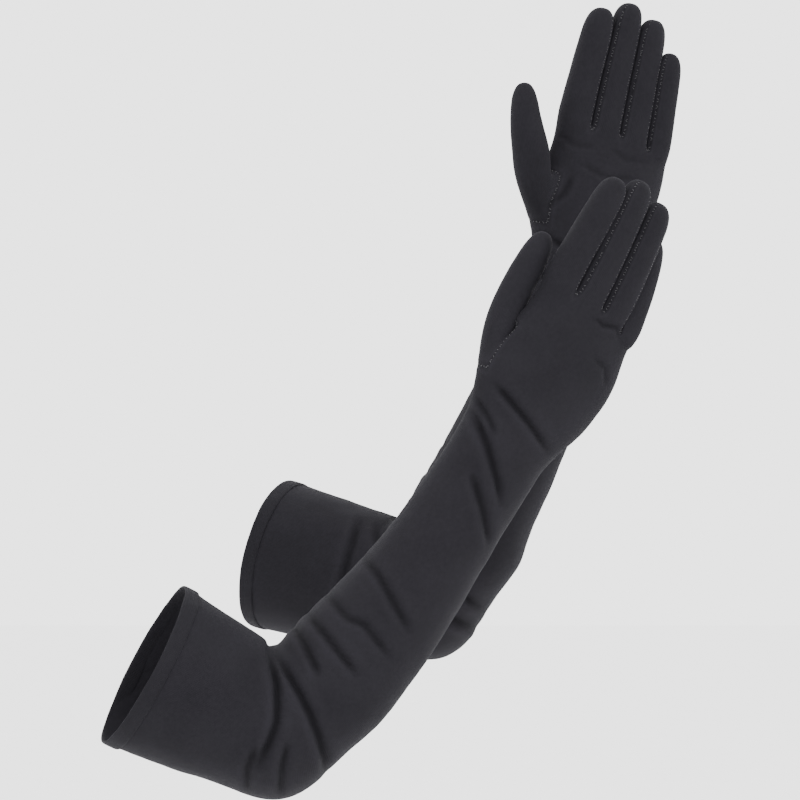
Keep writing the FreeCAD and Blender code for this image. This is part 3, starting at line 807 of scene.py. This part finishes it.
# painted shade: a darker copy of the black for the walls between the fingers
SHADED_WALL_BLACK = ((0.0036, 0.0034, 0.0044, 1), (0.0112, 0.0104, 0.0132, 1))
HEM_BLACK = ((0.0040, 0.0037, 0.0047, 1), (0.0122, 0.0115, 0.0142, 1))
knit = knit_material("black jersey", *BLACK, 0.0009, 0.0007, 0.5)
shaded_wall_knit = knit_material("shaded finger wall jersey", *SHADED_WALL_BLACK, 0.0008, 0.0007, 0.5)
hem_knit = knit_material("turned hem jersey", *HEM_BLACK, 0.0009, 0.0006, 0.7)
print("cloths:", ", ".join(cloth.name for cloth in (knit, shaded_wall_knit, hem_knit)))

# %% [markdown]
# ## Thread
# The seams are sewn with a twisted thread that is only a little paler than the cloth. Its twist is a
# fine noise in the colour and in a slight bump.

# %% The sewing thread
def thread_material(name, colour):
    material, tree, skin = new_material(name)
    twist = cloth_noise(tree, 2600, 2.0)
    pale = tuple(1.9 * part for part in colour[:3]) + (1,)
    tree.links.new(mix_colours(tree, twist, colour, pale), skin.inputs["Base Color"])
    relief = add_node(tree, "ShaderNodeBump", [("Height", twist), ("Strength", 0.5), ("Distance", 0.0001)])
    tree.links.new(relief.outputs[0], skin.inputs["Normal"])
    skin.inputs["Roughness"].default_value = 0.6
    skin.inputs["Sheen Weight"].default_value = 0.2
    return material


thread = thread_material("sewing thread", (0.0115, 0.011, 0.0135, 1))
print("thread:", thread.name)

# %% [markdown]
# ## Cutting the glove at its joints
# The whole smooth glove is now cut where the wearer bends. Each finger takes the strip of cloth
# down to the knuckles with it, and gets an inner wall between the fingers, so that nothing gapes
# when one finger curls and its neighbour doesn't. Each piece keeps the normals of the whole glove,
# and that hides the cuts while the gloves are at rest.

# %% Close the walls between the fingers
CLOTH_SLOT = 0
THREAD_SLOT = 1
WALL_SLOT = 2
ON_MARK = 0.999  # a point carries a mark in full from here up


def border_paths(bm):
    """Open edges that run up one side of a finger's strip, over the web and down the other side."""
    rim = bm.verts.layers.float["knuckle_rim"]
    loose = {e for e in bm.edges if e.is_boundary and min(v[rim] for v in e.verts) < ON_MARK}
    ends = [v for v in bm.verts if v[rim] > ON_MARK and sum(e in loose for e in v.link_edges) == 1]
    paths = []
    while ends:
        path = [ends.pop()]
        used = set()
        while True:
            step = next((e for e in path[-1].link_edges if e in loose and e not in used), None)
            if step is None:
                break
            used.add(step)
            path.append(step.other_vert(path[-1]))
        if len(path) > 2:
            ends = [v for v in ends if v is not path[-1]]
            paths.append(path)
    return paths


def wall_between_fingers(bm):
    web = bm.verts.layers.float["web"]
    for path in border_paths(bm):
        top = max(range(len(path)), key=lambda i: path[i][web])
        up, down = path[:top], path[top + 1:]
        edges = [bm.edges.get(pair) for run in (up, down) for pair in zip(run, run[1:])]
        wall = bmesh.ops.bridge_loops(bm, edges=edges)["faces"]
        wall += bmesh.ops.contextual_create(bm, geom=[path[top], up[-1], down[0]])["faces"]
        for face in wall:
            face.material_index = WALL_SLOT
    bmesh.ops.recalc_face_normals(bm, faces=bm.faces)


# %% [markdown]
# ## Thickness
# A cut piece is still a skin without a wall. Solidify adds the inner layer and closes the rim, and
# the outer layer stays where it is.

# %% Give the cloth its thickness
CLOTH = 0.8 * MM


def thicken(mesh, thickness):
    """Adds an inner layer. The first half of the points stay the outer layer."""
    holder = bpy.data.objects.new("holder", mesh)
    bpy.context.scene.collection.objects.link(holder)
    layer = holder.modifiers.new("Cloth", "SOLIDIFY")
    layer.thickness = thickness
    layer.offset = -1
    bpy.context.view_layer.update()
    evaluated = holder.evaluated_get(bpy.context.evaluated_depsgraph_get())
    thick = bpy.data.meshes.new_from_object(evaluated)
    bpy.data.objects.remove(holder)
    return thick


# %% [markdown]
# ## Stitches
# The seams are sewn over with short slanting stitches. Each is a small stretched ball of twenty
# faces, partly sunk in the cloth, so that hundreds of them stay light. They're made in a mesh of their
# own and joined at the end, which is much quicker than adding them one by one to the glove.

# %% Stitches along the seams
STITCH_PITCH = 2.2 * MM
STITCH_SIZE = (0.85 * MM, 0.2 * MM, 0.16 * MM, 1)  # half length, half width and half height
STITCH_LIFT = 0.12 * MM


def sew(bm, outer_points):
    """Small slanted threads along every seam line of the outer layer."""
    seam = bm.verts.layers.float["seam"]
    soft = bm.verts.layers.float_vector["soft"]
    bm.verts.ensure_lookup_table()
    spots = []
    for edge in bm.edges:
        a, b = edge.verts
        if max(a.index, b.index) >= outer_points or min(a[seam], b[seam]) < ON_MARK:
            continue
        way = (b.co - a.co).normalized()
        spots.append(((a.co + b.co) / 2, way, a[soft].normalized(), edge.calc_length()))
    threads = bmesh.new()
    walked = 0.0
    made = 0
    for middle, way, outward, length in spots:
        walked += length
        if walked < STITCH_PITCH:
            continue
        walked -= STITCH_PITCH
        aside = outward.cross(way).normalized()
        slant = (0.55 * way + aside * (0.8 if made % 2 else -0.8)).normalized()
        turned = Matrix((slant, outward.cross(slant), outward)).transposed().to_4x4()
        size = Matrix.Diagonal(STITCH_SIZE)
        spot = Matrix.Translation(middle + outward * STITCH_LIFT)
        bmesh.ops.create_icosphere(threads, subdivisions=1, radius=1, matrix=spot @ turned @ size)
        made += 1
    for face in threads.faces:
        face.material_index = THREAD_SLOT
        face.smooth = True
    sewn = bpy.data.meshes.new("threads")
    threads.to_mesh(sewn)
    bm.from_mesh(sewn)
    bpy.data.meshes.remove(sewn)
    threads.free()
    return made


# %% [markdown]
# ## Normals across the cuts
# At a cut the light would show a line, because each piece ends there. So the outer and inner layers
# take the normals that the whole glove had before it was cut.

# %% Keep the whole glove's normals
def keep_normals(mesh, layer_points):
    """Outer and inner layers take the whole glove's normals. Walls, rims and threads keep their own."""
    own = np.empty(len(mesh.loops) * 3)
    mesh.corner_normals.foreach_get("vector", own)
    own = own.reshape(-1, 3)
    soft = np.empty(len(mesh.vertices) * 3)
    mesh.attributes["soft"].data.foreach_get("vector", soft)
    soft = soft.reshape(-1, 3)
    corner = np.empty(len(mesh.loops), int)
    mesh.loops.foreach_get("vertex_index", corner)
    normals = own.copy()
    for face in mesh.polygons:
        loops = range(face.loop_start, face.loop_start + face.loop_total)
        points = corner[loops.start:loops.stop]
        in_inner = points.min() >= layer_points and points.max() < 2 * layer_points
        if face.material_index == WALL_SLOT:
            normals[loops.start:loops.stop] = face.normal
        elif face.material_index == CLOTH_SLOT and points.max() < layer_points:
            normals[loops.start:loops.stop] = soft[points]
        elif face.material_index == CLOTH_SLOT and in_inner:
            normals[loops.start:loops.stop] = -soft[points]
    normals /= np.maximum(np.linalg.norm(normals, axis=1), 1e-9)[:, None]
    mesh.normals_split_custom_set(normals.tolist())


# %% [markdown]
# ## Taking out one piece
# Every face of the smooth glove knows its piece, so a piece is a copy with all other faces deleted.
# The thumb's seam is shared with the palm's, and it is sewn only once, with the palm.

# %% Take out one piece
def cut_out(arm, piece):
    bm = bmesh.new()
    bm.from_mesh(smooth_gloves[arm.side])
    number = PIECES.index(piece)
    others = [face for face in bm.faces if face.material_index != number]
    bmesh.ops.delete(bm, geom=others, context="FACES")
    for face in bm.faces:
        face.material_index = CLOTH_SLOT
        face.smooth = True
    if piece in FINGERS:
        wall_between_fingers(bm)
    mesh = bpy.data.meshes.new(f"{arm.side}_{piece}")
    bm.to_mesh(mesh)
    layer_points = len(mesh.vertices)
    thick = thicken(mesh, CLOTH)
    bm.clear()
    bm.from_mesh(thick)
    stitches = 0 if piece == "thumb" else sew(bm, layer_points)
    bm.to_mesh(thick)
    bm.free()
    for material in (knit, thread, shaded_wall_knit):
        thick.materials.append(material)
    keep_normals(thick, layer_points)
    made = bpy.data.objects.new(f"{arm.side}_{piece}", thick)
    bpy.context.scene.collection.objects.link(made)
    print(made.name, len(thick.polygons), "faces,", stitches, "stitches")
    return made


# %% [markdown]
# ## Which arm bone each piece follows
# The sleeve bends at the elbow, the cuff and palm at the wrist, and every finger at its knuckle.
# Each is a blend across one joint. The thumb's seam stays with the palm all the way up to its web,
# and the thumb bends past it on a slant, so that nothing opens there.

# %% Cut and hang every piece
ELBOW_REACH = 62 * MM
BELOW_WRIST = 26 * MM
ABOVE_WRIST = 22 * MM
KNUCKLE_BEND = (58, 87)
THUMB_BEND_OUT = 13
THUMB_BEND_UP = (3, 23)


def hang_pieces(arm):
    side = arm.side
    pieces = {piece: cut_out(arm, piece) for piece in PIECES}
    start = arm.elbow - arm.up * ELBOW_REACH
    end = arm.elbow + arm.fore * ELBOW_REACH
    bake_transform(pieces["sleeve"], f"{side}_upper", f"{side}_forearm", start=start, end=end)
    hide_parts(f"{side}_upper_sleeve", f"{side}_elbow_sleeve", f"{side}_forearm_sleeve")
    start = arm.wrist - arm.fore * BELOW_WRIST
    end = arm.wrist + arm.hand * ABOVE_WRIST
    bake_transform(pieces["cuff"], f"{side}_forearm", f"{side}_hand", start=start, end=end)
    palm_nodes = ["wrist_sleeve", "hand_back", "hand_palm", "knuckle_band", "thumb_gusset"]
    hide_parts(*[f"{side}_{node}" for node in palm_nodes])
    start, end = (in_hand(arm, 0, 0, along) for along in KNUCKLE_BEND)
    for name in FINGERS:
        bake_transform(pieces[name], f"{side}_hand", f"{side}_{name}", start=start, end=end)
        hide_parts(*[node for node in frame["nodes"] if node.startswith(f"{side}_{name}_")])
    _, across, palmward, half = THUMB_LINE[side][1]
    web = across + half - 1
    start = in_hand(arm, web, palmward, THUMB_ROWS[-1] + THUMB_BEND_UP[0])
    end = in_hand(arm, web - THUMB_BEND_OUT, palmward, THUMB_ROWS[-1] + THUMB_BEND_UP[1])
    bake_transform(pieces["thumb"], f"{side}_hand", f"{side}_thumb", start=start, end=end)
    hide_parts(f"{side}_thumb_back", f"{side}_thumb_palm")


for arm in arms:
    hang_pieces(arm)

# %% [markdown]
# ## The turned hem
# The mouth of each glove is a narrow band of cloth turned in and sewn down. It is thicker than the
# sleeve and has a rounded edge, so it is a ring of its own: its profile runs up the outside, over
# the edge and down the inside.

# %% Make the hems
# millimetres along the sleeve from the mouth, and out from its surface
HEM_PROFILE = [(9.6, -0.1), (9.1, 0.2), (7.8, 0.42), (4.5, 0.4), (1.6, 0.42), (0.4, 0.25), (0.0, -0.15),
               (0.0, -0.7), (0.5, -1.2), (2.0, -1.45), (5.0, -1.4), (8.6, -1.3), (9.4, -0.8)]
HEM_OVERHANG = 0.4
HEM_CLOTH_STEP = 1.4


def make_hem(arm):
    centre, across, back, width, depth, _, _ = sleeve_rings(arm)[0]
    bm = bmesh.new()
    for mark in ("seam", "painted_highlight"):
        bm.verts.layers.float.new(mark)
    bm.loops.layers.uv.new("cloth")
    bmesh.ops.create_circle(bm, cap_ends=False, segments=SLEEVE_COLUMNS, radius=MM)
    bm.verts.ensure_lookup_table()
    ring = SimpleNamespace(corners=list(bm.verts), along=0)
    first = None
    for number, (along, out) in enumerate(HEM_PROFILE):
        middle = centre + arm.up * (along - HEM_OVERHANG) * MM
        places = oval(middle, across, back, (width + out) * MM, (depth + out) * MM, SLEEVE_COLUMNS)
        if number == 0:
            for corner, place in zip(ring.corners, places):
                corner.co = place
            first = ring
        else:
            ring = grow(bm, ring, places, "sleeve", -number * HEM_CLOTH_STEP)
        for corner in ring.corners:
            # painted highlight: the hem's rounded lip is painted paler, the rest of the hem a little
            corner[bm.verts.layers.float["painted_highlight"]] = 0.35 if along < 1 and out > -0.5 else 0.1
    edges = edges_round(bm, first.corners) + edges_round(bm, ring.corners)
    for face in bmesh.ops.bridge_loops(bm, edges=edges)["faces"]:
        face.material_index = CLOTH_SLOT
    bmesh.ops.recalc_face_normals(bm, faces=bm.faces)
    mesh = smooth_cage(bm, f"{arm.side}_hem")
    places = read_points(mesh, "co")
    normals = read_points(mesh, "normal")
    for number, place in enumerate(places):
        waves = noise.noise(Vector(place) * 38) * 0.5 + noise.noise(Vector(place) * 140) * 0.12
        places[number] += normals[number] * waves * MM
    mesh.vertices.foreach_set("co", places.ravel())
    mesh.materials.append(hem_knit)
    mesh.shade_smooth()
    hem = bpy.data.objects.new(f"{arm.side}_hem", mesh)
    bpy.context.scene.collection.objects.link(hem)
    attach(hem, f"{arm.side}_upper")
    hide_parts(f"{arm.side}_hem_band")
    return hem


hems = [make_hem(arm) for arm in arms]
print("hems:", [len(hem.data.polygons) for hem in hems], "faces")

# %% [markdown]
# ## Studio
# The gloves are lit as in a catalogue: a pale room all round, a pale floor under them, one soft lamp
# above on the right and a weaker one on the left. The soft room keeps the black cloth even, and the
# creases stay dark because little of it reaches into them and because the jersey is painted darker
# there as painted shade.

# %% The floor
FLOOR_HALF_SIZE = 8
FLOOR_PLACE = (0.15, 0, -0.45)


def make_floor():
    bm = bmesh.new()
    place = Matrix.Translation(FLOOR_PLACE)
    bmesh.ops.create_grid(bm, x_segments=8, y_segments=8, size=FLOOR_HALF_SIZE, matrix=place)
    mesh = bpy.data.meshes.new("studio_floor")
    bm.to_mesh(mesh)
    bm.free()
    floor = bpy.data.objects.new("studio_floor", mesh)
    bpy.context.scene.collection.objects.link(floor)
    material, tree, skin = new_material("pale studio paper")
    tint = mix_colours(tree, cloth_noise(tree, 30), (0.93, 0.93, 0.93, 1), (0.96, 0.96, 0.96, 1))
    tree.links.new(tint, skin.inputs["Base Color"])
    skin.inputs["Roughness"].default_value = 0.95
    skin.inputs["Specular IOR Level"].default_value = 0.1
    mesh.materials.append(material)
    return floor


print("floor:", make_floor().name)

# %% [markdown]
# ## Lamps and camera
# Two square lamps give a little direction, and the bright room does the rest. The camera stands
# well back with a long lens, level with the gloves, so that both hands keep their true proportions.

# %% Lamps, camera and room
def add_lamp(name, place, target, size, power):
    lamp = bpy.data.objects.new(name, bpy.data.lights.new(name, "AREA"))
    lamp.data.shape = "SQUARE"
    lamp.data.size = size
    lamp.data.energy = power
    lamp.location = place
    lamp.rotation_euler = (Vector(target) - Vector(place)).to_track_quat("-Z", "Y").to_euler()
    bpy.context.scene.collection.objects.link(lamp)
    return lamp


add_lamp("key", (1.0, -1.9, 2.0), (0.25, 0.1, 0.3), 0.9, 45)
add_lamp("fill", (-1.9, -1.5, 0.8), (0.2, 0.1, 0.2), 1.6, 9)
camera = bpy.data.objects.new("camera", bpy.data.cameras.new("camera"))
bpy.context.scene.collection.objects.link(camera)
bpy.context.scene.camera = camera
camera.location = (0.1552, -2.307, 0.1602)
camera.rotation_euler = (math.pi / 2, 0, 0)
camera.data.lens = 171.4
camera.data.sensor_width = 36
world = bpy.data.worlds.new("studio")
bpy.context.scene.world = world
world.use_nodes = True
room = world.node_tree.nodes["Background"]
room.inputs["Color"].default_value = (1, 1, 1, 1)
room.inputs["Strength"].default_value = 3.0
print("camera lens:", round(camera.data.lens, 1), "mm")
